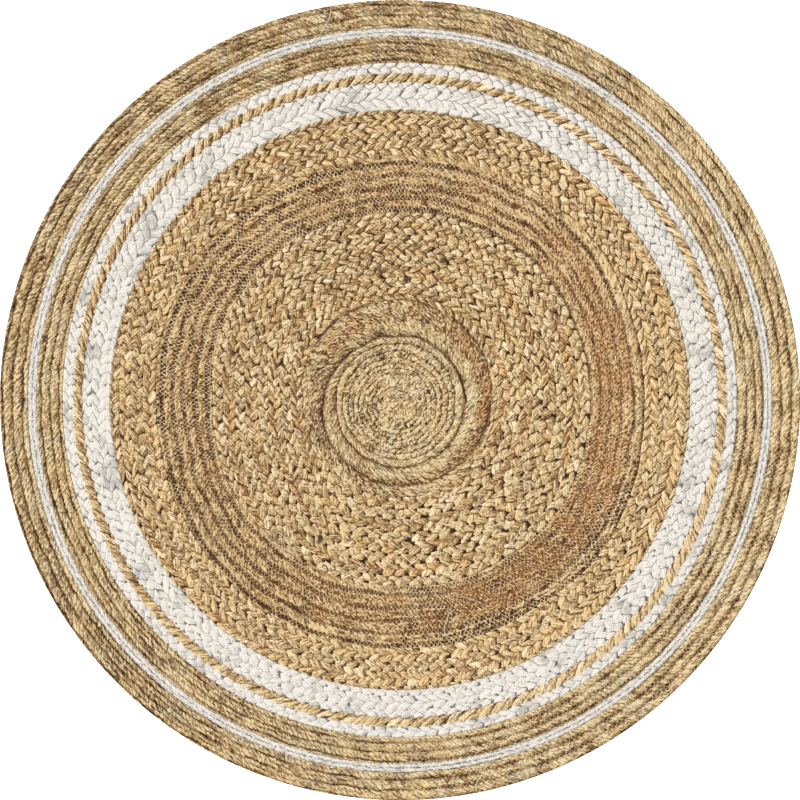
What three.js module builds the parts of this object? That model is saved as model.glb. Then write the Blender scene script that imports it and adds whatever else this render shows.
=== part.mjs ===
// A round vinyl rug: one soft PVC sheet, die-cut to a circle and lying flat.
// Its face is printed and embossed like rows of braided and corded jute with painted white rings.
// Millimetres, +Z up. The origin is the middle of the flat underside.
import * as THREE from "three";

// Driving dimensions
const RUG_DIAMETER = 1200;
const GROOVE_FLOOR = 1.7; // sheet left under the grooves between the rows
const BRAID_RELIEF = 1.3; // crown of a braided row over the groove floor
const CORD_RELIEF = 1.1; // crown of a twisted cord over the groove floor
const CORE_RELIEF = 0.9; // crown of the fine cords in the middle
const RIM_RELIEF = 0.6; // what the die cut leaves of the outermost cord
const FACETS = 64; // straight sides that stand for the circle

const RUG_RADIUS = RUG_DIAMETER / 2;

// Rings of rows from the middle to the rim: where a ring ends, how many rows it has, how high they stand.
const RINGS = [
  { look: "fine cords of the core", outer: 98, rows: 8, relief: CORE_RELIEF },
  { look: "thick cords round the core", outer: 138, rows: 3, relief: CORD_RELIEF },
  { look: "golden and pale braids", outer: 285, rows: 8, relief: BRAID_RELIEF },
  { look: "stitched red-brown cords", outer: 366, rows: 5, relief: CORD_RELIEF },
  { look: "golden and pale braids", outer: 435, rows: 4, relief: BRAID_RELIEF },
  { look: "wide white ring", outer: 476, rows: 2, relief: BRAID_RELIEF },
  { look: "single golden braid", outer: 490, rows: 1, relief: BRAID_RELIEF },
  { look: "narrow white ring", outer: 505, rows: 1, relief: BRAID_RELIEF },
  { look: "natural cords", outer: 545, rows: 3, relief: CORD_RELIEF },
  { look: "thin white ring", outer: 558, rows: 1, relief: CORD_RELIEF },
  { look: "cords out to the rim", outer: RUG_RADIUS, rows: 4, relief: CORD_RELIEF },
];

const JUTE_TAN = 0xb99d78;

// The face in section, from the middle to the rim: a crown and a groove for each row.
function facePoints() {
  const points = [new THREE.Vector2(0, GROOVE_FLOOR + CORE_RELIEF)];
  let inner = 0;
  for (const ring of RINGS) {
    const pitch = (ring.outer - inner) / ring.rows;
    for (let row = 0; row < ring.rows; row += 1) {
      const start = inner + row * pitch;
      points.push(new THREE.Vector2(start + pitch / 2, GROOVE_FLOOR + ring.relief));
      points.push(new THREE.Vector2(start + pitch, GROOVE_FLOOR));
    }
    inner = ring.outer;
  }
  const rim = points[points.length - 1];
  rim.y = GROOVE_FLOOR + RIM_RELIEF;
  return points;
}

// The whole section: out along the underside, up the cut rim, and back over the rows to the middle.
function sheetSection() {
  const underside = [new THREE.Vector2(0, 0), new THREE.Vector2(RUG_RADIUS, 0)];
  return [...underside, ...facePoints().reverse()];
}

function vinylSheet() {
  const geometry = new THREE.LatheGeometry(sheetSection(), FACETS);
  geometry.rotateX(Math.PI / 2);
  const material = new THREE.MeshStandardMaterial({
    color: JUTE_TAN,
    roughness: 0.6,
    metalness: 0,
    flatShading: true,
  });
  const sheet = new THREE.Mesh(geometry, material);
  sheet.name = "vinyl_sheet";
  return sheet;
}

const rug = new THREE.Group();
rug.name = "round_vinyl_rug";
rug.add(vinylSheet());

export default rug;
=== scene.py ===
"""Looks of the round vinyl rug: one flat sheet, printed and embossed like braided and corded jute.

Lengths are in millimetres. Bearings are in degrees, anticlockwise from the right.
"""

import bpy
import numpy as np
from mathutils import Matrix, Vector


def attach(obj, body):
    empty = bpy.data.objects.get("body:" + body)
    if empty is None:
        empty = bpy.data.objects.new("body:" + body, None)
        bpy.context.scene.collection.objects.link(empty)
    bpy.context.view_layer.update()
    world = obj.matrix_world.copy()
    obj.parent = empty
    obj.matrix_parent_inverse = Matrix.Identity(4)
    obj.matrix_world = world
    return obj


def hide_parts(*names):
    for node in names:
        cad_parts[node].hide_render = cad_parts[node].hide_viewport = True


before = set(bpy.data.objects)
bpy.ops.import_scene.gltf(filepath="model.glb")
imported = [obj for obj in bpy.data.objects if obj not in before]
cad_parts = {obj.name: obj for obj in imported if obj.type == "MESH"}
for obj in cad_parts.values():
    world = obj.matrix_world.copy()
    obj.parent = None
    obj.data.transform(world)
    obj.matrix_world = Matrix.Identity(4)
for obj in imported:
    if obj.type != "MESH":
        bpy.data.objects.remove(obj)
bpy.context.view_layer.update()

MM = 0.001
TURN = 2 * np.pi

# The sheet
RUG_RADIUS = 600.0
FOAM_TOP = 1.6  # top of the foam back
FACE_LOW = 1.5  # the printed face reaches down into the foam
GROOVE_FLOOR = 1.7
BRAID_RELIEF = 1.3
CORD_RELIEF = 1.15
CORE_RELIEF = 1.0
GAP_HEIGHT = 0.08  # between a braid's strands, as a share of its relief
PAINT_FILL = 0.4  # share of the relief that the white paint fills
RINGS = 384  # rings of the face's mesh, each with six more corners than the one inside it

# Colours of the print (sRGB)
GOLDEN = (0.77, 0.63, 0.43)
PALE = (0.76, 0.64, 0.46)
NATURAL = (0.765, 0.65, 0.465)
STRAW = (0.765, 0.63, 0.435)
RED_BROWN = (0.755, 0.595, 0.4)
GREY_TAN = (0.74, 0.66, 0.52)
CREAM = (0.88, 0.77, 0.61)
WHITE = (0.955, 0.925, 0.88)
ORANGE = (0.78, 0.56, 0.32)
MARK_BROWN = (0.68, 0.43, 0.2)
# black of the painted shade in holes and slits and beside loose fibres, and of darker marks
MARK_AND_SHADE_BLACK = (0.15, 0.1, 0.07)
HAIR = (0.9, 0.84, 0.71)
BACK_GREY = (0.86, 0.83, 0.77)

# Darkest and lightest of the tan and of the white
TAN_LIGHT = (0.26, 1.3)
WHITE_LIGHT = (0.5, 1.03)

TO_LIGHT = (-0.95, 0.31)  # where the light comes from, in the print as in the scene
SHADE_REACH = 3.2  # how far from its border a strand shades the one under it
THREAD_SWING = 3.3  # how far the sewing thread swings to each side of its groove

# Rings painted white: inner and outer radius
WHITE_RINGS = ((435, 476), (490, 505.5), (545, 558))
THIN_RING = WHITE_RINGS[2]

# Edges between the rings of rows: bearing and radius
CORE_EDGE = {0: 145, 45: 147, 90: 150, 135: 154, 180: 146, 210: 144, 240: 147, 300: 145}
BRAID_EDGE = {
    0: 285, 45: 287, 90: 281, 120: 284, 140: 288, 165: 285, 180: 281,
    210: 285, 240: 281, 270: 279, 315: 288, 340: 288,
}
CORD_EDGE = {
    0: 365, 20: 370, 35: 378, 60: 372, 90: 366, 110: 365, 140: 372, 160: 369,
    190: 365, 210: 369, 235: 376, 275: 373, 305: 372, 320: 378, 340: 374,
}

# Edges of the rows that close on themselves. The last three are true circles.
CLOSED_EDGES = (
    CORD_EDGE,
    {0: 387, 45: 393, 75: 391, 110: 385, 160: 387, 200: 386, 230: 393, 330: 393},
    {0: 402, 60: 405, 100: 401, 150: 406, 180: 405, 230: 412, 260: 408, 330: 408},
    {0: 429, 45: 429, 100: 420, 150: 426, 180: 421, 230: 435, 280: 429, 330: 431},
    {0: 443, 20: 452, 60: 447, 90: 438, 150: 437, 190: 444, 330: 444},
    {0: 459, 20: 466, 60: 464, 150: 463, 270: 465, 330: 461},
)
CLOSED_CIRCLES = (475.5, 491.0, 506.0)

# The coiled middle: its centre, its grooves where they cross the right-hand axis, and those round them
CORE_CENTRE = (-5.0, -8.0)
CORE_GROOVES = (0, 9, 16, 24, 31, 39, 46, 54, 61, 69, 77, 87, 100)
WIDE_GROOVES = (
    {0: 100, 130: 100, 200: 119, 290: 130, 360: 137},
    {0: 137, 45: 146, 90: 152, 360: 152},
    {0: 170, 360: 170},
)
DEEP_TURN = 11  # the turn with a deep groove along its outside, in darker painted shade
COIL_START = 12  # mean radius of the first turn, to reckon the cord's length
COIL_STEP = 11  # what each further turn adds

# Winding braids lie in pairs, numbered inwards
BRAID_PAIRS = 4
PALE_SHARE = 0.45  # of a pair's width
GOLDEN_MORE = 0.1
FIRST_LOBE = 301
PAIR_LOBES = 95  # in one turn of the outermost pair
PAIR_LOBE_STEP = 12  # fewer in each pair further in
ENDLESS = 4096.0  # more lobes than they have

# Closed braids are numbered outwards
CLOSED_LOBES = 138  # in the innermost row
CLOSED_LOBE_STEP = 6  # more in each row further out
LOBE_SHIFT = 0.37  # turn of each row against the last, in lobes
SINGLE_ROW = 6  # one golden braid between two white rings
SINGLE_LOBES = CLOSED_LOBES + CLOSED_LOBE_STEP * SINGLE_ROW

# Cords
STITCHED_ROWS = 5
STITCHED_RADIUS = 325  # mean radius, to reckon their length
OUTER_RADIUS = 550  # the same for the outer cords
OUTER_SHIFT = 31  # turn of each outer cord against the last, in length
OUTER_HALF = 7.0  # half the width of an outer cord
OUTER_EDGES = (505.5, THIN_RING[0], THIN_RING[1], RUG_RADIUS + 3)
OUTER_NUMBERS = (1, 4, 11, 14)  # numbers of the rows that start there


def linear(rgb):
    rgb = np.asarray(rgb, float)
    return np.where(rgb <= 0.04045, rgb / 12.92, ((rgb + 0.055) / 1.055) ** 2.4)


# Formulas that serve twice: on arrays they shape the mesh, on wires they colour the print

def operator(operation):
    """Its two methods: with the wire on the left, and on the right."""
    return lambda a, b: wired(operation, a, b), lambda a, b: wired(operation, b, a)


class Wire:
    """A number inside a material."""

    def __init__(self, socket):
        self.socket = socket

    def __abs__(self):
        return wired("ABSOLUTE", self)

    __add__, __radd__ = operator("ADD")
    __sub__, __rsub__ = operator("SUBTRACT")
    __mul__, __rmul__ = operator("MULTIPLY")
    __truediv__, __rtruediv__ = operator("DIVIDE")


def put(socket, value):
    """Link a wire or a socket, or set a number or colour on the socket itself."""
    if isinstance(value, Wire):
        value = value.socket
    if isinstance(value, bpy.types.NodeSocket):
        socket.id_data.links.new(value, socket)
    else:
        socket.default_value = value


def make(tree, kind, inputs=None, **settings):
    node = tree.nodes.new(kind)
    for key, value in settings.items():
        setattr(node, key, value)
    for socket, value in (inputs or {}).items():
        put(node.inputs[socket], value)
    return node


def tree_of(values):
    return [value for value in values if isinstance(value, Wire)][0].socket.id_data


def wired(operation, *values):
    node = make(tree_of(values), "ShaderNodeMath", dict(enumerate(values)), operation=operation)
    return Wire(node.outputs[0])


def either(operation, plain):
    """A function for both numbers and wires."""
    def work(*values):
        if any(isinstance(value, Wire) for value in values):
            return wired(operation, *values)
        return plain(*values)
    return work


floor = either("FLOOR", np.floor)
root = either("SQRT", lambda a: np.sqrt(np.maximum(a, 0)))
sine = either("SINE", np.sin)
cosine = either("COSINE", np.cos)
larger = either("MAXIMUM", np.maximum)
smaller = either("MINIMUM", np.minimum)
above = either("GREATER_THAN", lambda a, b: np.where(a > b, 1.0, 0.0))
power = either("POWER", lambda a, b: np.maximum(a, 0) ** b)
bearing = either("ARCTAN2", np.arctan2)
wrapped = either("FLOORED_MODULO", np.mod)
sign = either("SIGN", np.sign)


def fract(a):
    return a - floor(a)


def limit(value, low, high):
    return smaller(larger(value, low), high)


def choose(test, yes, no):
    """yes where test is 1, no where it is 0."""
    values = (test, no, yes)
    if not any(isinstance(value, Wire) for value in values):
        return no + (yes - no) * test
    node = make(tree_of(values), "ShaderNodeMix", {0: test, 2: no, 3: yes}, data_type="FLOAT")
    return Wire(node.outputs[0])


def smooth(low, high, x):
    """0 up to low and 1 from high, smooth in between. With low above high it falls instead."""
    if isinstance(x, Wire):
        inputs = {0: x, 1: low, 2: high, 3: 0.0, 4: 1.0}
        settings = dict(interpolation_type="SMOOTHSTEP", clamp=True)
        return Wire(make(tree_of((x,)), "ShaderNodeMapRange", inputs, **settings).outputs[0])
    t = np.clip((x - low) / (high - low), 0, 1)
    return t * t * (3 - 2 * t)


def band(x, start, full, last, end):
    """1 from full to last, and 0 before start and after end."""
    return smooth(start, full, x) * smooth(end, last, x)


def sweep(low, high, p):
    """0 up to one bearing and 1 from the other, in degrees."""
    return smooth(np.radians(low), np.radians(high), p.angle)


def rand(number, key, salt):
    """Scattered numbers from 0 to 1, the same on the mesh and in the print."""
    return fract(sine(number * 2.399 + key * 1.13 + salt) * 43.7)


class Named:
    def __init__(self, **values):
        self.__dict__.update(values)


class Place:
    def __init__(self, x, y):
        self.x = x
        self.y = y
        self.r = root(x * x + y * y)
        self.angle = wrapped(bearing(y, x), TURN)
        self.turn = self.angle / TURN


class Row(Named):
    """The row at a point. v runs from -1 to 1 across it, q and s run along it in lobes and millimetres."""

    double = 0.0  # 1 where two cords lie side by side


# Rows of each zone, from two fields that change smoothly over the face

def coil_place(p):
    """Offset from the coil's centre, which nears the rug's own further out, and the share of a turn."""
    settle = 1 - smooth(40, 150, p.r)
    cx = p.x - CORE_CENTRE[0] * settle
    cy = p.y - CORE_CENTRE[1] * settle
    return cx, cy, wrapped(bearing(cy, cx), TURN) / TURN


def core_row(field, half, p):
    """The coiled middle: one cord that winds outwards, flatter in its first turns."""
    _, _, turn = coil_place(p)
    winding = field - turn
    index = floor(winding)
    fading = 0.4 + 0.6 * smooth(12, 45, p.r)
    turns_before = index * (COIL_START - COIL_STEP / 2 + COIL_STEP / 2 * index)
    s = TURN * (turn * (COIL_START + COIL_STEP * index) + turns_before)
    return Row(v=(2 * (winding - index) - 1) * fading, half=half, s=s, index=index)


def row_lean(p):
    """Slant of the flattest lobes in degrees, which drifts from place to place."""
    return 26 + 4 * sine(3 * p.angle + p.r / 23) + 2 * sine(7 * p.angle - p.r / 13)


def inner_braid_row(field, half, p):
    """Golden and pale braids in turn, which step one pair outwards in the lower left."""
    pair = field + sweep(195, 250, p)
    index = floor(pair)
    across = pair - index
    golden = above(across, PALE_SHARE)
    low = PALE_SHARE * golden
    span = PALE_SHARE + GOLDEN_MORE * golden
    lobes = PAIR_LOBES - PAIR_LOBE_STEP * index
    start = FIRST_LOBE - PAIR_LOBES * index + PAIR_LOBE_STEP / 2 * index * (index + 1)
    return Row(
        v=1 - 2 * (across - low) / span, half=half * span,
        q=start + lobes * p.turn, pitch=TURN * p.r / lobes, wrap=ENDLESS,
        key=3 + golden, golden=golden, lean=row_lean(p), light=1 - 0.1 * golden,
    )


def closed_braid_row(field, half, p):
    """Rows that close on themselves: middle braids, the white rings and the braid between them."""
    index = floor(field)
    lobes = CLOSED_LOBES + CLOSED_LOBE_STEP * index
    golden = larger(1 - abs(index * (index - 2)), 0)  # rows 0 and 2
    v = 2 * (field - index) - 1
    single = larger(1 - abs(index - SINGLE_ROW), 0)
    return Row(
        v=choose(single, 0.5 * v + 0.45, v), half=half * (1 + single),
        q=p.turn * lobes + LOBE_SHIFT * index, pitch=TURN * p.r / lobes, wrap=lobes,
        key=10 + index, golden=golden, lean=row_lean(p), light=0.93 + 0.05 * golden + 0.07 * single,
    )


def winding_cord_row(field, half, p):
    """Cords that wind out one row in a turn."""
    winding = field - p.turn
    index = floor(winding)
    s = (p.turn + index) * TURN * STITCHED_RADIUS
    return Row(v=2 * (winding - index) - 1, half=half, s=s, index=index)


def outer_cord_row(field, half, p):
    """Winding cords on both sides of the thin white ring, which is a closed cord."""
    row = winding_cord_row(field, half, p)
    ring = above(p.r, THIN_RING[0]) * above(THIN_RING[1], p.r)
    middle = sum(THIN_RING) / 2
    row.v = choose(ring, (p.r - middle) / (THIN_RING[1] - middle), row.v)
    row.s = p.turn * TURN * OUTER_RADIUS + OUTER_SHIFT * row.index
    row.double = ring
    return row


def lobe(row, side, step):
    """One leaf-shaped lobe of a braid: its height here, and where in it the point lies."""
    q = row.q if side > 0 else row.q + 0.5
    centre = floor(q) + step
    number = wrapped(centre, row.wrap)
    lean = rand(number, row.key, 1.3 + side)
    shift = rand(number, row.key, 3.9 + side)
    girth = rand(number, row.key, 6.1 + side)
    slope = np.pi / 180 * (row.lean + 18 * lean)
    rise = sine(slope)
    run = cosine(slope)
    along_row = (q - centre - 0.37 - 0.26 * shift) * row.pitch
    across_row = row.half * (row.v - side * (0.36 + 0.12 * girth))
    along = along_row * run - side * across_row * rise
    half_length = row.half * (0.56 + 0.18 * shift) / rise + 2.4
    t = along / half_length
    bend = smaller(t + 0.2, 0)
    across = side * along_row * rise + across_row * run + side * 2.2 * bend * bend
    half_width = 0.7 * row.pitch * rise * (0.8 + 0.4 * girth)
    leaf = half_width * power(larger(1 - t * t, 0), 0.5) * (1 - 0.3 * t)
    inside = leaf - abs(across)
    bulge = across / larger(leaf, 0.001)
    body = power(1 - bulge * bulge, 0.4)
    top = 0.78 - 0.28 * t - 0.2 * t * t + 0.2 * lean
    height = choose(above(inside, 0), top * (0.42 + 0.58 * body), -1.0)
    return Named(
        height=height, along=along, across=across, t=t, bulge=bulge, rise=side * rise, run=run,
        number=number + 0.25 * side, inside=inside, border=top * 0.42,
    )


def weave(row):
    """The topmost lobe at each point of a braid, with the next one's height, and all lobes near it."""
    lobes = [lobe(row, side, step) for side in (1, -1) for step in (-1, 0, 1)]
    best = dict.fromkeys(vars(lobes[0]), 0.0)
    best.update(height=GAP_HEIGHT, bulge=1.0, run=1.0)
    second = 0.0
    for found in lobes:
        second = larger(second, smaller(found.height, best["height"]))
        on_top = above(found.height, best["height"])
        best = {name: choose(on_top, getattr(found, name), value) for name, value in best.items()}
    return Named(second=second, **best), lobes


def strands(row, slant):
    """Coordinates along and across the fibres of a twisted cord."""
    off = row.v * row.half
    lean = np.radians(slant)
    return row.s * np.cos(lean) + off * np.sin(lean), off * np.cos(lean) - row.s * np.sin(lean)


def dome(row, split):
    """Section of a cord, from 0 in the grooves to 1, with a second groove where it is split in two."""
    split = larger(split, row.double)
    crest = root(1 - power(abs(row.v), 2.6))
    return crest * (1 - 0.7 * split * smooth(0.35, 0.0, abs(row.v)))


# Fields on the mesh

def around(table, angle):
    """A value that changes round the rug, from a short table of degrees and values."""
    return np.interp(np.degrees(angle) % 360, list(table), list(table.values()), period=360)


def wandering(table, angle):
    """An edge between rows: the table's radius with a little waviness, or a true circle."""
    wave = 0.9 * np.sin(9 * angle + 1.0) + 0.6 * np.sin(23 * angle + 2.0) + 0.4 * np.sin(41 * angle)
    return around(table, angle) + (wave if len(table) > 1 else 0)


def scatter(*keys):
    """Even numbers from 0 to 1 that depend only on whole-number keys."""
    h = np.full(np.broadcast(*keys).shape, 2166136261, np.uint32)
    for key in keys:
        h = (h ^ np.asarray(key, np.int64).astype(np.uint32)) * np.uint32(16777619)
        h ^= h >> np.uint32(13)
        h *= np.uint32(2246822519)
        h ^= h >> np.uint32(16)
    return (h & np.uint32(0xFFFFFF)).astype(np.float64) / 2 ** 24


def noise(x, y, seed):
    """Smooth noise from -1 to 1 on a unit lattice."""
    xi = np.floor(x)
    yi = np.floor(y)
    fx = smooth(0, 1, x - xi)
    fy = smooth(0, 1, y - yi)
    x0 = xi.astype(np.int64)
    y0 = yi.astype(np.int64)
    low = scatter(x0, y0, seed) * (1 - fx) + scatter(x0 + 1, y0, seed) * fx
    high = scatter(x0, y0 + 1, seed) * (1 - fx) + scatter(x0 + 1, y0 + 1, seed) * fx
    return 2 * (low * (1 - fy) + high * fy) - 1


def lumps(p, size, seed):
    """Smooth noise from -1 to 1 over the rug, in lumps of that size."""
    return noise(p.x / size, p.y / size, seed)


def between(r, edges):
    """Number of the row that holds r and the share of its width passed, as one number, and its half width."""
    field = np.zeros(r.shape)
    half = np.ones(r.shape)
    for k, (low, high) in enumerate(zip(edges[:-1], edges[1:])):
        inside = (r >= low) if k else np.full(r.shape, True)
        width = np.maximum(high - low, 1e-3)
        field = np.where(inside, k + np.clip((r - low) / width, 0, 0.9999), field)
        half = np.where(inside, width / 2, half)
    return field, half


def core_fields(p):
    cx, cy, turn = coil_place(p)
    reach = np.hypot(cx, cy) + (1.6 * lumps(p, 14, 13)) * smooth(2, 12, p.r)
    grooves = [a + (b - a) * turn for a, b in zip(CORE_GROOVES[:-1], CORE_GROOVES[1:])]
    grooves += [np.interp(turn * 360, list(table), list(table.values())) for table in WIDE_GROOVES]
    field, half = between(reach, grooves)
    return field + turn, half


def even_rows(p, start, end, count, waver, size, seed):
    """Rows of even width from one edge to another. Their borders waver in between."""
    start = wandering(start, p.angle)
    end = wandering(end, p.angle)
    share = (p.r - start) / (end - start)
    share = share + waver * share * (1 - share) * lumps(p, size, seed)
    return count * share, abs(end - start) / (2 * count)


def inner_braid_fields(p):
    return even_rows(p, BRAID_EDGE, CORE_EDGE, BRAID_PAIRS, 0.05, 30, 11)


def stitched_fields(p):
    field, half = even_rows(p, BRAID_EDGE, CORD_EDGE, STITCHED_ROWS, 0.18, 40, 12)
    return field + 1, half


def closed_braid_fields(p):
    edges = [wandering(table, p.angle) for table in CLOSED_EDGES]
    edges += [np.full(p.r.shape, radius) for radius in CLOSED_CIRCLES]
    return between(p.r, edges)


def outer_cord_fields(p):
    wobble = 1.7 * lumps(p, 40, 11) + 1.1 * lumps(p, 17, 12)
    field = np.interp(p.r + wobble, OUTER_EDGES, OUTER_NUMBERS)
    return field, np.full(field.shape, OUTER_HALF)


class Kind(Named):
    """One kind of rows: how they are found, embossed and printed. Without a slant they are braids."""

    relief = BRAID_RELIEF
    split = stitch = deep = {0: 0}
    plain, warm, cool = NATURAL, STRAW, GREY_TAN
    slant = None
    felted = False  # its fibres lie one way over all the cords
    painted = False  # a white ring crosses it


KINDS = {
    "core": Kind(
        fields=core_fields, row_at=core_row, relief=CORE_RELIEF, felted=True,
        # by bearing: how far the cords are split in two, and how deep a groove parts them, shown as wider,
        # darker painted shade
        split={0: 0.5, 60: 0.5, 120: 0.45, 180: 0.4, 220: 0.2, 260: 0, 310: 0, 340: 0.4},
        deep={0: 0.9, 45: 0.7, 75: 0.2, 220: 0.15, 250: 0.6, 300: 0.6, 325: 0.2},
        slant=38,  # degrees between the embossed fibres and the cord
        print_slant=26,  # the same for the printed fibres
        fibre=14.0,  # length of a fibre
        ply_pitch=15.0,  # length of a ply along the cord
        light=0.98,  # mean light, then what each part of the print adds to it or takes away
        ply=0.4, fine=0.42, crisp=0.42, pits=0.4, crease=0.42, dull=0.04,
        dash=0.9,  # how unbroken the painted shade in the grooves is
        even=0.95,  # how little that shade fades in places
    ),
    "braid": Kind(fields=inner_braid_fields, row_at=inner_braid_row),
    "stitched": Kind(
        fields=stitched_fields, row_at=winding_cord_row, relief=CORD_RELIEF,
        split={0: 0.2, 60: 0.2, 95: 0.3, 265: 0.3, 280: 0.8, 330: 0.7},
        deep={0: 0.3, 45: 0.6, 80: 0.3, 160: 0.3, 185: 0.5, 265: 0.5, 290: 0.3},
        # by bearing: how strongly thread is sewn over the grooves
        stitch={0: 0.5, 60: 0.7, 95: 1, 185: 1, 205: 0.75, 265: 0.7, 280: 1, 330: 0.9},
        stitches=335,  # in one turn
        holes=0.92,  # how dark the painted shade is in the groove between the legs of the thread
        plain=STRAW, warm=RED_BROWN, cool=PALE, slant=32, print_slant=32, fibre=9.0, ply_pitch=12.0,
        light=1.11, ply=0.2, fine=0.3, crisp=0.22, pits=0.42, crease=0.2, dull=0.1, dash=1.0, even=0.95,
    ),
    "ring_braid": Kind(fields=closed_braid_fields, row_at=closed_braid_row),
    "outer_cord": Kind(
        fields=outer_cord_fields, row_at=outer_cord_row, relief=CORD_RELIEF, painted=True,
        split={0: 0, 40: 0.2, 60: 0.4, 135: 0.7, 165: 0.2, 200: 0.2, 225: 0.7, 260: 0.5, 275: 0},
        deep={0: 0.3, 45: 0.1, 80: 0, 140: 0.1, 165: 0.25, 215: 0.5, 250: 0.2, 270: 0.1, 330: 0.2},
        stitch={0: 0.4, 30: 0.1, 90: 0.4, 130: 0.4, 140: 0.1, 265: 0.1, 280: 0.6, 350: 0.6},
        stitches=450, holes=0.8, slant=22, print_slant=28, fibre=9.0, ply_pitch=8.0,
        light=1.05, ply=0.22, fine=0.3, crisp=0.24, pits=0.46, crease=0.27, dull=0.03, dash=0.85, even=0.66,
    ),
}

# Marks of the print, the dark ones painted shade in holes: bearing and radius, half length, half width and
# heading, how dark, how brown
MARKS = (
    (240, 240, 7, 5, 60, 0.9, 0.6), (236, 244, 5, 4, 0, 0.0, 1.0), (232, 252, 5, 3, 20, 0.8, 0.3),
    (73, 219, 5, 4, 30, 0.8, 0.2), (87, 182, 5, 4, 80, 0.8, 0.2), (170, 218, 5, 4, 70, 0.8, 0.2),
    (323, 159, 10, 2.2, 100, 0.9, 0.0), (349, 273, 5, 3, 120, 0.8, 0.2), (307, 188, 5, 4, 20, 0.7, 0.3),
    (292, 186, 8, 4, 10, 0.1, 0.9), (217, 195, 9, 2, 60, 0.8, 0.0), (303, 390, 5, 4, 40, 0.8, 0.2),
    (99, 197, 5, 4, 100, 0.7, 0.2), (49, 257, 4, 4, 0, 0.7, 0.2), (342, 293, 5, 3, 20, 0.7, 0.2),
    (17, 302, 9, 2, 110, 0.8, 0.0), (100, 302, 4, 4, 0, 0.8, 0.2), (148, 515, 4, 3, 60, 0.7, 0.3),
    (166, 594, 7, 3, 75, 0.8, 0.0), (72, 564, 4, 3, 0, 0.7, 0.2), (67, 564, 4, 3, 0, 0.7, 0.2),
    (170, 541, 5, 4, 80, 0.9, 0.2), (28, 156, 12, 8, 115, 0.0, 0.6), (25, 148, 8, 1.6, 110, 0.8, 0.0),
    (117, 405, 10, 6, 30, 0.0, 0.8), (231, 426, 16, 8, 140, 0.0, 0.6), (315, 326, 28, 6, 45, 0.0, 0.7),
    (291, 320, 40, 5, 18, 0.0, 0.7), (20, 347, 26, 6, 110, 0.1, 0.7), (130, 339, 30, 5, 40, 0.1, 0.6),
    (200, 124, 22, 5, 110, 0.1, 0.4), (262, 126, 34, 5, 172, 0.3, 0.5),
)

# Loose pale fibres: bearing and radius of both ends, and how far the middle bows out
LOOSE_FIBRES = (
    (5, 562, 8, 588, 5), (100, 598, 104, 548, 6), (42, 598, 42, 558, -5), (70, 555, 76, 597, 8),
    (67, 537, 76, 597, -10), (281, 598, 284, 562, 6), (55, 585, 55, 540, -6), (281, 360, 284, 326, 6),
    (286, 308, 292, 333, 5), (205, 150, 211, 158, 5), (204, 160, 212, 152, -6), (226, 272, 237, 284, 6),
    (224, 284, 236, 276, -7), (324, 212, 327, 240, 8), (321, 220, 326, 232, -8), (310, 180, 305, 196, 6),
)
NO_FIBRE = 9.0  # distance to the nearest loose fibre where none is near

# How brown the stitched cords and the outermost cord of the core are: bearing and share
BROWN_SIDES = {0: 0.85, 30: 0.65, 60: 0.25, 120: 0.2, 230: 0.2, 265: 0.4, 290: 0.75, 330: 0.85, 350: 0.85}
BROWN_CORE = {0: 0.9, 35: 0.9, 50: 0.5, 75: 0.6, 100: 0.3, 125: 0.6, 150: 0.2, 260: 0.4, 300: 0.3, 335: 0.6}


def polar(degrees, radius):
    return radius * np.array([np.cos(np.radians(degrees)), np.sin(np.radians(degrees))])


def points_near(p, centre, reach):
    """Numbers of the points within reach of a centre."""
    return np.flatnonzero(np.hypot(p.x - centre[0], p.y - centre[1]) < reach)


def brown_cords(p):
    stitched = band(p.r, 286, 300, 346, 356)
    rim = around(CORE_EDGE, p.angle)
    core_cord = band(p.r, 116, 123, rim - 8, rim - 2)
    brown = stitched * around(BROWN_SIDES, p.angle) + core_cord * around(BROWN_CORE, p.angle)
    return brown * (0.7 + 0.6 * lumps(p, 20, 73))


def spots(p):
    """How dark and how brown the print is at each point. The dark is mostly painted shade in holes and slits
    between the strands.
    """
    dark = np.zeros(p.r.shape)
    brown = brown_cords(p)
    ragged = 0.25 * lumps(p, 3, 71) + 0.25 * lumps(p, 6, 72)
    for degrees, radius, half_length, half_width, heading, darkness, brownness in MARKS:
        centre = polar(degrees, radius)
        near = points_near(p, centre, 2 * half_length + 4)
        dx = p.x[near] - centre[0]
        dy = p.y[near] - centre[1]
        c, s = polar(heading, 1)
        reach = np.hypot((dx * c + dy * s) / half_length, (dy * c - dx * s) / half_width) + ragged[near]
        dark[near] = np.maximum(dark[near], darkness * smooth(1.25, 0.6, reach))
        brown[near] = np.maximum(brown[near], brownness * smooth(1.4, 0.4, reach))
    return dark, brown


def fibre_distance(p):
    distance = np.full(p.r.shape, NO_FIBRE)
    for degrees, radius, end_degrees, end_radius, bow in LOOSE_FIBRES:
        a = polar(degrees, radius)
        b = polar(end_degrees, end_radius)
        length = np.hypot(*(b - a))
        heading = (b - a) / length
        near = points_near(p, (a + b) / 2, length / 2 + 12)
        dx = p.x[near] - a[0]
        dy = p.y[near] - a[1]
        along = dx * heading[0] + dy * heading[1]
        share = along / length
        off = dy * heading[0] - dx * heading[1] - bow * np.sin(np.pi * share) - 0.25 * bow * np.sin(9 * share)
        past_end = np.maximum(np.maximum(-along, along - length), 0)
        distance[near] = np.minimum(distance[near], np.hypot(off, past_end))
    return distance


# Materials

def joined(x, y, z=0.0):
    values = (x, y, z)
    return make(tree_of(values), "ShaderNodeCombineXYZ", dict(enumerate(values))).outputs[0]


def parted(socket):
    node = make(socket.id_data, "ShaderNodeSeparateXYZ", {0: socket})
    return [Wire(output) for output in node.outputs]


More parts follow.
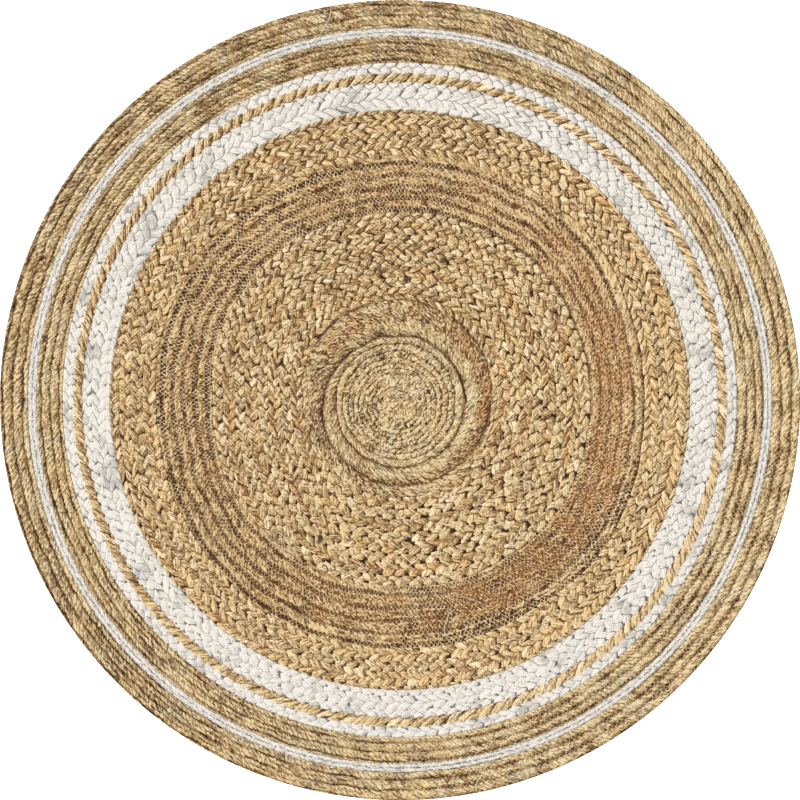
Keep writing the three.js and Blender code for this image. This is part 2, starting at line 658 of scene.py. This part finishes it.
def cloud(vector, detail=1.0, distortion=0.0):
    """Noise over a vector in its own units, mostly between -1 and 1."""
    inputs = {"Vector": vector, "Scale": 1.0, "Detail": detail, "Roughness": 0.6, "Distortion": distortion}
    return 4.0 * (Wire(make(vector.id_data, "ShaderNodeTexNoise", inputs).outputs[0]) - 0.5)


def clouds(p, size, seed=0.0, detail=1.0):
    """Noise over the rug, in clouds of about that size."""
    return cloud(joined(p.x / size, p.y / size, seed), detail)


def solid(rgb):
    return (*linear(rgb), 1.0)


def tint(colour, other, share):
    ends = [solid(end) if isinstance(end, tuple) else end for end in (colour, other)]
    inputs = {0: share, 6: ends[0], 7: ends[1]}
    node = make(share.socket.id_data, "ShaderNodeMix", inputs, data_type="RGBA", clamp_factor=True)
    return node.outputs[2]


def lit(rgb, light):
    """A plain colour in more or less light."""
    inputs = {0: tuple(linear(rgb)), 3: light}
    return make(light.socket.id_data, "ShaderNodeVectorMath", inputs, operation="SCALE").outputs[0]


def dimmed(rgb, light):
    """A grey or white in more or less light, in steps that the eye sees as even."""
    return lit(rgb, power(light, 2.2))


def shaded(colour, light):
    """A tan in more or less light, in even steps for the eye: shade is browner, light is paler."""
    by_colour = joined(power(light, 2.0), power(light, 2.5), power(light, 3.1))
    inputs = {0: colour, 1: by_colour}
    return make(light.socket.id_data, "ShaderNodeVectorMath", inputs, operation="MULTIPLY").outputs[0]


def new_material(name):
    material = bpy.data.materials.new(name)
    material.use_nodes = True
    tree = material.node_tree
    tree.nodes.clear()
    output = make(tree, "ShaderNodeOutputMaterial")
    shader = make(tree, "ShaderNodeBsdfPrincipled")
    tree.links.new(shader.outputs[0], output.inputs[0])
    return material, tree, shader


def stored(tree, name):
    node = make(tree, "ShaderNodeAttribute", attribute_name=name, attribute_type="GEOMETRY")
    return parted(node.outputs["Vector"])


def place_on(tree):
    x, y, _ = parted(make(tree, "ShaderNodeTexCoord").outputs["Object"])
    return Place(x / MM, y / MM)


def print_patches(p):
    """Broad warmer and cooler patches of the print."""
    return clouds(p, 45, detail=2.0)


def dull_side(p):
    """The upper left of the print is a little duller."""
    return sweep(55, 100, p) * (1 - sweep(225, 270, p))


def left_rim(p):
    """The cords at the left rim are darker than the others."""
    return sweep(125, 150, p) * sweep(240, 215, p) * smooth(558, 575, p.r)


def white_paint(p):
    """Where the white rings are painted over the strands, with slightly ragged edges."""
    beside_single = band(p.r, 470, 474, 493, 497)
    scallops = 1.3 * beside_single * sine(p.angle * SINGLE_LOBES)
    ragged = p.r + 0.5 * clouds(p, 4) + scallops
    soft = 0.7
    paint = 0.0
    for inner, outer in WHITE_RINGS:
        started = smooth(inner - soft, inner + soft, ragged)
        paint = paint + started * (1 - smooth(outer - soft, outer + soft, ragged))
    return paint


def set_surface(tree, shader, colour, height, depth, roughness, gloss):
    bump = make(tree, "ShaderNodeBump", {"Strength": 1.0, "Distance": depth * MM, "Height": height})
    put(shader.inputs["Base Color"], colour)
    put(shader.inputs["Normal"], bump.outputs[0])
    put(shader.inputs["Roughness"], roughness)
    put(shader.inputs["Specular IOR Level"], gloss)


def finish_print(tree, shader, p, colour, relief, depth):
    """Marks, painted shade in holes and loose fibres with painted shadows over the print, then the vinyl
    itself: matt, with a fine grain.
    """
    dark, brown, hair = stored(tree, "marks")
    brown = brown * limit(0.8 + 0.7 * clouds(p, 3, 17.0, detail=0.0), 0.2, 1.3)
    colour = tint(shaded(colour, 1 - 0.1 * brown), MARK_BROWN, 0.6 * brown)
    # the dark marks are mostly painted shade in holes and slits between the strands
    colour = tint(colour, MARK_AND_SHADE_BLACK, dark)
    colour = tint(colour, HAIR, 0.65 * smooth(1.3, 0.5, hair))
    # a painted shadow in a band beside each loose fibre
    colour = tint(colour, MARK_AND_SHADE_BLACK, 0.35 * smooth(1.2, 2.0, hair) * smooth(3.6, 2.4, hair))
    grain = clouds(p, 0.9, detail=0.0)
    roughness = limit(0.62 + 0.08 * grain, 0.5, 0.75)
    set_surface(tree, shader, colour, relief + 0.15 * grain, depth, roughness, 0.3)


def facing(p):
    """How far the outward and the forward direction of the rows turn to the print's own light."""
    outward = (p.x * TO_LIGHT[0] + p.y * TO_LIGHT[1]) / p.r
    forward = (p.x * TO_LIGHT[1] - p.y * TO_LIGHT[0]) / p.r
    return outward, forward


# Braids

def cast_shade(top, lobes, outward, forward):
    """Shade on a lobe beside the lobes that lie over it, most on the side away from the light."""
    shade = 0.0
    for over in lobes:
        beside = smooth(-SHADE_REACH, 0, over.inside) * above(0, over.inside)
        higher = smooth(-0.12, 0.06, over.border - top.height)
        turned = sign(over.bulge) * (over.rise * forward + over.run * outward)
        shade = larger(shade, beside * higher * (0.6 - 0.4 * turned))
    return shade


def braid_look(row, p):
    """What shows at each point of a braid: its strand's tone, fibres and specks, light and shade."""
    top, lobes = weave(row)
    tone, shade, shift = [rand(top.number, row.key, salt) for salt in (9.7, 12.1, 14.9)]
    outward, forward = facing(p)
    side_light = top.bulge * (top.rise * forward + top.run * outward)
    border = smooth(1.7, 0.3, top.inside)
    overlap = smooth(0.12, 0.02, top.height - top.second)
    return Named(
        tone=tone, shade=shade - 0.5, patches=print_patches(p), speck=clouds(p, 3.0, 7.0),
        fine=cloud(joined(top.along / 10 + 97 * shift, top.across / 2.2, 31 * shift)),
        bulge=top.bulge * top.bulge, tail=smooth(0.1, 1.0, top.t), side_light=side_light,
        end_light=(0.2 + top.t) * (top.run * forward - top.rise * outward),
        crease=larger(border, overlap), turned=limit(0.6 - 0.8 * side_light, 0.05, 1),
        cast=cast_shade(top, lobes, outward, forward), gap=smooth(0.22, 0.12, top.height),
    )


def braid_colour(row, look):
    colour = tint(PALE, GOLDEN, limit(0.2 + 0.6 * row.golden + 0.5 * look.patches, 0, 1))
    colour = tint(colour, ORANGE, 0.4 * smooth(0.93, 0.98, look.tone) * (0.4 + 0.6 * row.golden))
    return tint(colour, CREAM, 0.5 * smooth(0.4, 0.0, look.tone))


def braid_light(row, look, p):
    light = 1.12 - 0.28 * look.bulge + 0.34 * look.side_light + 0.24 * look.end_light - 0.16 * look.tail
    light = light + 0.2 * look.shade - 0.04 * dull_side(p) + 0.52 * look.fine + 0.25 * look.speck
    light = light * (1 - 0.74 * look.crease * look.turned) * (1 - 0.65 * look.cast) * (1 - 0.46 * look.gap)
    return limit(light * row.light, *TAN_LIGHT)


def painted_braid_light(look):
    """Light on the strands that are painted white, where the paint evens it out."""
    light = 1.0 - 0.05 * look.bulge + 0.1 * look.side_light + 0.08 * look.end_light + 0.05 * look.shade
    light = light + 0.15 * look.fine + 0.1 * look.speck
    light = light - 0.18 * smooth(0.1, 0.8, look.patches + 0.5 * look.speck)
    light = light * (1 - 0.55 * look.crease * look.turned) * (1 - 0.4 * look.cast) * (1 - 0.3 * look.gap)
    return limit(light, *WHITE_LIGHT)


def braid_print(name, kind):
    """Printed braids: leaf-shaped strands that overlap, each with its own tone and fine fibres."""
    material, tree, shader = new_material(name)
    p = place_on(tree)
    field, half, _ = stored(tree, "rows")
    row = kind.row_at(field, half, p)
    look = braid_look(row, p)
    tan = shaded(braid_colour(row, look), braid_light(row, look, p))
    white = dimmed(WHITE, painted_braid_light(look))
    finish_print(tree, shader, p, tint(tan, white, white_paint(p)), 0.0, 0.25)
    return material


# Cords

def fibres(along, across, key, length):
    """Twisted fibres: broad plies, fine fibres, pits between them in painted shade and pale stray hairs on
    top.
    """
    curl = cloud(joined(along / length, across / 4.0, 9.0 + key), detail=0.0, distortion=1.5)
    return Named(
        ply=cloud(joined(along / 18, across / 4.4, 7.3 * key)),
        fine=cloud(joined(along / length, across / 2.1, 3.1 * key), distortion=0.8),
        pits=smooth(0.25, 0.7, cloud(joined(along / (0.6 * length), across / 2.6, 5.7 * key))),
        hair=larger(1 - 3.5 * abs(curl), 0),
    )


def cord_fibres(row, kind, bend):
    """Fibres that lie along their cord, and how thick it is."""
    along, across = strands(row, kind.print_slant)
    across = across + 2.0 * bend
    look = fibres(along, across, row.index, kind.fibre)
    look.crisp = cloud(joined(along / 5.0, across / 2.0, 12.0), detail=0.0)
    look.thick = 1 - row.double
    return look


def felted_fibres(row, kind, bend, p):
    """The same in the coiled middle: felt over the thin cords, and a calm stretch of the thick ones."""
    cord = cord_fibres(row, kind, bend)
    felt = fibres(0.7 * (p.x + p.y), 0.7 * (p.y - p.x) + 3.0 * bend, 0.0, 4.5)
    curls = joined((p.x + p.y) / 7.0, (p.y - p.x) / 3.4 + 2 * bend, 13.0)
    share = smooth(100, 80, p.r)
    calm = band(p.r, 97, 101, 114, 121)
    return Named(
        ply=choose(share, felt.ply, 0.6 * cord.ply), fine=choose(share, felt.fine, 0.9 * cord.fine),
        pits=choose(share, felt.pits, cord.pits * (1 - 0.4 * calm)), hair=choose(share, felt.hair, cord.hair),
        crisp=choose(share, cloud(curls, detail=0.0, distortion=1.2), 0.7 * cord.crisp),
        thick=smooth(97, 101, p.r) * (1 - 0.5 * calm),
    )


def cord_look(tree, row, kind, p):
    """What shows at each point of a cord: its fibres, plies, section and grooves."""
    split, stitch, deep = stored(tree, "sewing")
    _, brown, _ = stored(tree, "marks")
    bend = clouds(p, 14, 5.0)
    look = felted_fibres(row, kind, bend, p) if kind.felted else cord_fibres(row, kind, bend)
    look.split = split
    look.stitch = stitch
    look.fuzzy = brown
    look.worn = cloud(joined(row.s / 45, row.index * 7.9, 6.0))
    look.section = dome(row, split)
    # where a ply ends at a crease, which is painted in shade, and its tone
    phase = row.s / kind.ply_pitch - row.v * (0.8 + 0.25 * row.v * row.v) + 0.45 * bend
    look.crease = smooth(0.28, 0.48, abs(fract(phase) - 0.5))
    look.ply_tone = rand(floor(phase), row.index, 5.5)
    # the painted shade in the grooves between the rows: in dashes, and fainter in places
    look.faint = limit(kind.even + 1.2 * clouds(p, 45, 21.0), kind.even - 0.45, 1)
    look.dash = limit(kind.dash + 1.6 * clouds(p, 5, 4.0), 0.15, 1)
    if kind.felted:
        look.dash = limit(look.dash - 0.45, 0.1, 0.6) * (1 - 0.2 * above(row.index, DEEP_TURN + 0.5))
    groove = smooth(0.74 + 0.14 * deep, 0.42 + 0.14 * deep, look.section + 0.25 * look.fine)
    groove = groove * larger(look.dash, deep)
    look.groove = groove * (1 - 0.5 * stitch) * (1 - 0.7 * limit(brown, 0, 1)) * look.faint
    return look


def cord_colour(kind, p):
    patches = print_patches(p)
    colour = tint(kind.plain, kind.warm, limit(0.9 * patches, 0, 1))
    return tint(colour, kind.cool, limit(-0.9 * patches, 0, 1))


def cord_light(row, kind, look, p):
    outward, _ = facing(p)
    light = kind.light + 0.4 * (look.section - 0.8) + 0.26 * row.v * outward - kind.dull * dull_side(p)
    light = light + 0.16 * look.worn + (kind.crisp + 1.8 * look.fuzzy) * look.crisp
    light = light + kind.ply * look.ply + kind.fine * look.fine + 0.26 * look.hair
    if not kind.felted:
        light = light - 0.09 * left_rim(p)
    twisted = kind.crease * look.thick * limit(0.75 + 1.2 * look.worn, 0.2, 1.2)
    light = (light + 0.7 * twisted * (look.ply_tone - 0.33)) * (1 - twisted * look.crease)
    return light * (1 - 0.8 * look.groove) * (1 - kind.pits * look.pits * (0.3 + 0.7 * look.faint))


def painted_cord_light(look):
    light = 1.0 + 0.2 * look.fine + 0.12 * look.ply - 0.12 * look.pits
    light = light * (1 - 0.42 * smooth(0.8, 0.3, look.section + 0.4 * look.fine) * look.dash)
    return limit(light, *WHITE_LIGHT)


def ladder(row, kind, look, p):
    """Sewing thread that zigzags over a groove, and the painted shade in the groove between its legs."""
    waver = clouds(p, 9)
    beside = (abs(row.v) - 1) * row.half * sign(row.v)
    middle = row.v * row.half
    doubled = look.split + 0.8 * clouds(p, 25, 31.0)
    use_middle = above(doubled, 0.5) * above(abs(beside), abs(middle))
    off = choose(use_middle, middle, beside) + 0.6 * waver
    steps = p.turn * kind.stitches + 0.25 * waver
    target = THREAD_SWING * (1 - 4 * abs(fract(steps) - 0.5))
    near = look.stitch * smooth(THREAD_SWING + 1.2, THREAD_SWING - 0.8, abs(off))
    uneven = limit(0.95 + 1.2 * clouds(p, 14, 3.0), 0.25, 1.0)
    thread = near * uneven * smooth(1.9, 0.9, abs(off - target))
    patchy = limit(0.85 + 0.9 * clouds(p, 7, 8.0), 0.3, 1.0)
    return near * (1 - thread) * patchy, thread


def cord_print(name, kind):
    """Printed cords: twisted fibres, painted shade in the grooves between the rows, and sewing thread over
    some of them.
    """
    material, tree, shader = new_material(name)
    p = place_on(tree)
    field, half, _ = stored(tree, "rows")
    row = kind.row_at(field, half, p)
    look = cord_look(tree, row, kind, p)
    colour = cord_colour(kind, p)
    light = cord_light(row, kind, look, p)
    relief = 0.4 * look.ply + 0.4 * look.fine + 0.4 * look.hair - 0.5 * look.pits
    if not kind.felted:
        hole, thread = ladder(row, kind, look, p)
        hole_light = 1 - kind.holes * hole * look.faint * (1 - 0.3 * limit(look.fuzzy, 0, 1))
        light = choose(0.9 * thread, 1.16, light * hole_light)
        colour = tint(colour, CREAM, 0.7 * thread)
        relief = relief + 0.8 * thread - hole
    colour = shaded(colour, limit(light, *TAN_LIGHT))
    if kind.painted:
        colour = tint(colour, dimmed(WHITE, painted_cord_light(look)), white_paint(p))
    finish_print(tree, shader, p, colour, relief, 0.3)
    return material


# The printed and embossed face

ZONES = (
    # name of the piece, kind of its rows, its outer edge, numbers of its first and last mesh ring
    ("coiled_core", "core", CORE_EDGE, 0, 94),
    ("inner_braids", "braid", BRAID_EDGE, 94, 182),
    ("stitched_cords", "stitched", CORD_EDGE, 182, 236),
    ("middle_braids", "ring_braid", {0: 435}, 236, 278),
    ("white_rings", "ring_braid", {0: 505.5}, 278, 324),
    ("outer_cords", "outer_cord", {0: 558}, 324, 357),
    ("rim_cords", "outer_cord", {0: RUG_RADIUS}, 357, RINGS),
)


def ring_size(ring):
    """Corners in a ring. Ring 0 is the middle point."""
    return max(1, 6 * ring)


def ring_start(ring):
    return 0 if ring == 0 else 1 + 3 * ring * (ring - 1)


def disc_points():
    """Corners of the whole face, ring by ring, with the rings drawn to the edges between the zones."""
    ring = np.concatenate([np.full(ring_size(i), i) for i in range(RINGS + 1)])
    step = np.concatenate([np.arange(ring_size(i)) for i in range(RINGS + 1)])
    angle = TURN * step / np.maximum(6 * ring, 1)
    radius = np.zeros(ring.shape)
    inner_edge = np.zeros(ring.shape)
    for _, _, edge, first, last in ZONES:
        outer_edge = wandering(edge, angle)
        share = (ring - first) / (last - first)
        here = (ring > first) & (ring <= last)
        radius[here] = (inner_edge + (outer_edge - inner_edge) * share)[here]
        inner_edge = outer_edge
    return radius * np.cos(angle), radius * np.sin(angle)


def face_triangles(first, last):
    """Upward triangles between two rings."""
    found = []
    for i in range(first, last):
        k = np.arange(i + 1)
        for sixth in range(6):
            a = (sixth * i + k) % ring_size(i) + ring_start(i)
            b = (sixth * (i + 1) + k) + ring_start(i + 1)
            b_next = (sixth * (i + 1) + k + 1) % ring_size(i + 1) + ring_start(i + 1)
            found.append(np.stack([a, b, b_next], 1))
            found.append(np.stack([a[:-1], b_next[:-1], a[1:]], 1))
    return np.concatenate(found)


def quads(a, b, c, d):
    """Four-cornered faces, each as two triangles."""
    return [np.stack([a, b, c], 1), np.stack([a, c, d], 1)]


def zone_shell(points, first, last):
    """Corners and triangles of a closed zone, how many are of the face, and each corner's face point."""
    inner = np.arange(ring_size(first))
    outer = np.arange(ring_size(last)) + ring_start(last) - ring_start(first)
    outer_low = np.arange(outer.size) + len(points)
    inner_low = inner + outer_low[-1] + 1
    face_point = np.concatenate([np.arange(len(points)), outer, inner])
    corners = points[face_point]
    corners[len(points):, 2] = FACE_LOW
    outer_next = np.roll(outer, -1)
    outer_low_next = np.roll(outer_low, -1)
    face = face_triangles(first, last) - ring_start(first)
    parts = [face] + quads(outer, outer_low, outer_low_next, outer_next)
    if first > 0:
        parts += quads(inner, np.roll(inner, -1), np.roll(inner_low, -1), inner_low)
    # the underside: each outer corner looks to the inner corner at its own bearing
    k = np.arange(outer.size)
    near = (k * inner.size) // outer.size
    near_next = ((k + 1) * inner.size) // outer.size
    parts.append(np.stack([outer_low, inner_low[near], outer_low_next], 1))
    step = near_next != near
    if first > 0:
        ends = [inner_low[near[step]], inner_low[near_next[step] % inner.size], outer_low_next[step]]
        parts.append(np.stack(ends, 1))
    return corners, np.concatenate(parts), len(face), face_point


def new_mesh(name, corners, triangles, smooth_count):
    """A mesh in metres. Only the first triangles are shaded smooth."""
    mesh = bpy.data.meshes.new(name)
    mesh.vertices.add(len(corners))
    mesh.vertices.foreach_set("co", (corners * MM).astype(np.float32).ravel())
    mesh.loops.add(triangles.size)
    mesh.loops.foreach_set("vertex_index", triangles.astype(np.int32).ravel())
    mesh.polygons.add(len(triangles))
    mesh.polygons.foreach_set("loop_start", np.arange(0, triangles.size, 3, dtype=np.int32))
    mesh.polygons.foreach_set("use_smooth", np.arange(len(triangles)) < smooth_count)
    mesh.update(calc_edges=True)
    mesh.validate()
    return mesh


def new_object(name, data):
    obj = bpy.data.objects.new(name, data)
    bpy.context.scene.collection.objects.link(obj)
    return obj


def new_piece(name, mesh, material):
    piece = new_object(name, mesh)
    mesh.materials.append(material)
    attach(piece, "root")
    return piece


def cord_height(row, split, p, slant):
    along, across = strands(row, slant)
    ridge = noise(along / 15, across / 3.2, 22)
    fuzz = lumps(p, 3.2, 23)
    return dome(row, split) * (0.72 + 0.22 * ridge) + 0.14 * fuzz


def only_in_coil(row, split, deep, p):
    """The coil is split only in its thick cords, and its one deep groove, in painted shade, runs between two
    of its turns.
    """
    below = (row.index == DEEP_TURN) * smooth(0.55, 0.85, row.v)
    beyond = (row.index == DEEP_TURN + 1) * smooth(-0.82, -0.95, row.v)
    return split * smooth(96, 104, p.r), deep * np.maximum(below, beyond)


def emboss(name, p):
    """Height of the embossing over the groove floor, and what the print reads at each point."""
    kind = KINDS[name]
    field, half = kind.fields(p)
    row = kind.row_at(field, half, p)
    split, stitch, deep = [around(table, p.angle) for table in (kind.split, kind.stitch, kind.deep)]
    if kind.felted:
        split, deep = only_in_coil(row, split, deep, p)
    height = cord_height(row, split, p, kind.slant) if kind.slant else weave(row)[0].height
    filled = sum(band(p.r, inner - 2, inner + 2, outer - 2, outer + 2) for inner, outer in WHITE_RINGS)
    height = kind.relief * np.clip(height, 0, 1) * (1 - PAINT_FILL * filled)
    return height, {
        "rows": np.stack([field, half, np.zeros(field.shape)], 1),
        "sewing": np.stack([split, stitch, deep], 1),
        "marks": np.stack([*spots(p), fibre_distance(p)], 1),
    }


def level_seams(heights):
    """Neighbouring zones share the lower of their heights along the ring where they meet."""
    for before, after, zone in zip(heights[:-1], heights[1:], ZONES):
        count = ring_size(zone[4])
        shared = np.minimum(before[-count:], after[:count])
        before[-count:] = shared
        after[:count] = shared


def face_piece(name, points, first, last, values, material):
    """One closed piece of the face, with the values that its print reads."""
    corners, triangles, face_count, face_point = zone_shell(points, first, last)
    mesh = new_mesh(name, corners, triangles, face_count)
    for key, vectors in values.items():
        attribute = mesh.attributes.new(key, "FLOAT_VECTOR", "POINT")
        attribute.data.foreach_set("vector", vectors[face_point].astype(np.float32).ravel())
    return new_piece(name, mesh, material)


def face_pieces():
    x, y = disc_points()
    prints = {}
    for name, kind in KINDS.items():
        prints[name] = (cord_print if kind.slant else braid_print)(name + "_print", kind)
    spans = [slice(ring_start(first), ring_start(last + 1)) for _, _, _, first, last in ZONES]
    heights, values = zip(*[emboss(zone[1], Place(x[span], y[span])) for zone, span in zip(ZONES, spans)])
    level_seams(heights)
    pieces = []
    for (name, kind, _, first, last), span, height, read in zip(ZONES, spans, heights, values):
        points = np.stack([x[span], y[span], GROOVE_FLOOR + height], 1)
        pieces.append(face_piece(name, points, first, last, read, prints[kind]))
    return pieces


# The back

PORE_SIZE = 1.1
PATCH_SIZE = 110
WAFFLE_PITCH = 12.0
BACK_RINGS = (200.0, 400.0, RUG_RADIUS)
BACK_SIDES = 720


def foam_back():
    """The foamed vinyl back and its cut edge: pale, matt and pored, with a pressed waffle whose grooves are
    painted in shade.
    """
    material, tree, shader = new_material("foam_back")
    x, y, z = parted(make(tree, "ShaderNodeTexCoord").outputs["Object"])
    pore = PORE_SIZE * MM
    patch = PATCH_SIZE * MM
    pores = cloud(joined(x / pore, y / pore, z / pore), detail=3.0)
    patches = cloud(joined(x / patch, y / patch), detail=3.0)
    across = [fract(line / (WAFFLE_PITCH * MM)) - 0.5 for line in (x + y, x - y)]
    waffle = larger(*[smooth(0.36, 0.47, abs(offset)) for offset in across])
    # the waffle's grooves are darker: painted shade
    colour = lit(BACK_GREY, 1 + 0.1 * pores + 0.1 * patches - 0.32 * waffle)
    roughness = limit(0.82 + 0.06 * pores, 0.7, 0.95)
    set_surface(tree, shader, colour, 0.4 * pores - waffle, 0.4, roughness, 0.25)
    return material


def unit_circle(sides):
    angle = TURN * np.arange(sides) / sides
    return np.column_stack([np.cos(angle), np.sin(angle), np.zeros(sides)])


def foam_sheet():
    """The one sheet that carries the face: a flat disc from the floor up to the print."""
    rings = [unit_circle(BACK_SIDES) * radius for radius in BACK_RINGS]
    rings.append(rings[-1] + (0, 0, FOAM_TOP))
    corners = np.concatenate([[(0, 0, 0), (0, 0, FOAM_TOP)], *rings])
    k = np.arange(BACK_SIDES) + 2
    k_next = np.roll(k, -1)
    triangles = [np.stack([0 * k, k_next, k], 1)]
    for _ in BACK_RINGS:
        triangles += quads(k, k_next, k_next + BACK_SIDES, k + BACK_SIDES)
        k = k + BACK_SIDES
        k_next = k_next + BACK_SIDES
    triangles.append(np.stack([0 * k + 1, k, k_next], 1))
    mesh = new_mesh("vinyl_back", corners, np.concatenate(triangles), 0)
    return new_piece("vinyl_back", mesh, foam_back())


# Floor, light and camera

FLOOR_REACH = 40000.0
FLOOR_SIDES = 96
FLOOR_OVERLAP = 4.0  # how far the floor reaches in under the rug's edge
FLOOR_DROP = 0.1  # keeps the floor and the underside apart where they overlap
FLOOR_GREY = (0.85, 0.85, 0.85, 1)
FULL_WHITE = (1, 1, 1, 1)

SUN_ELEVATION = 38.0  # degrees
SUN_WIDTH = 5.0  # degrees
SUN_STRENGTH = 2.8
SKY_STRENGTH = 0.45

CAMERA_HEIGHT = 2.0  # metres
PICTURE_PIXELS = 800
RUG_PIXELS = 800.6  # how wide the rug is in the picture


def studio_floor():
    """A white floor that glows, to stay clear of shadows. It is open under the rug, to show the back."""
    circle = unit_circle(FLOOR_SIDES)
    corners = np.concatenate([circle * (RUG_RADIUS - FLOOR_OVERLAP), circle * FLOOR_REACH])
    k = np.arange(FLOOR_SIDES)
    k_next = np.roll(k, -1)
    triangles = np.concatenate(quads(k, k + FLOOR_SIDES, k_next + FLOOR_SIDES, k_next))
    mesh = new_mesh("floor", corners - (0, 0, FLOOR_DROP), triangles, 0)
    material, _, shader = new_material("floor_white")
    plain = {
        "Base Color": FLOOR_GREY, "Roughness": 0.9, "Specular IOR Level": 0.0,
        "Emission Color": FULL_WHITE, "Emission Strength": 1.0,
    }
    for name, value in plain.items():
        put(shader.inputs[name], value)
    mesh.materials.append(material)
    ground = new_object("floor", mesh)
    return ground


def light_scene():
    """Soft sunlight from the side that the print is lit from, and a white sky."""
    sun = bpy.data.lights.new("sun", "SUN")
    sun.energy = SUN_STRENGTH
    sun.angle = np.radians(SUN_WIDTH)
    flat = np.cos(np.radians(SUN_ELEVATION))
    to_light = Vector((TO_LIGHT[0] * flat, TO_LIGHT[1] * flat, np.sin(np.radians(SUN_ELEVATION))))
    new_object("sun", sun).rotation_euler = to_light.to_track_quat("Z", "Y").to_euler()
    world = bpy.data.worlds.new("studio")
    world.use_nodes = True
    background = world.node_tree.nodes["Background"]
    background.inputs["Color"].default_value = FULL_WHITE
    background.inputs["Strength"].default_value = SKY_STRENGTH
    bpy.context.scene.world = world
    bpy.context.scene.view_settings.view_transform = "Standard"


def aim_camera():
    """Straight down, with the rug filling the picture from edge to edge."""
    camera = bpy.data.cameras.new("camera")
    camera.type = "ORTHO"
    camera.ortho_scale = 2 * RUG_RADIUS * MM * PICTURE_PIXELS / RUG_PIXELS
    obj = new_object("camera", camera)
    obj.location = (0, 0, CAMERA_HEIGHT)
    bpy.context.scene.camera = obj


aim_camera()
light_scene()
ground = studio_floor()
zones = face_pieces()
back = foam_sheet()
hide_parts("vinyl_sheet")
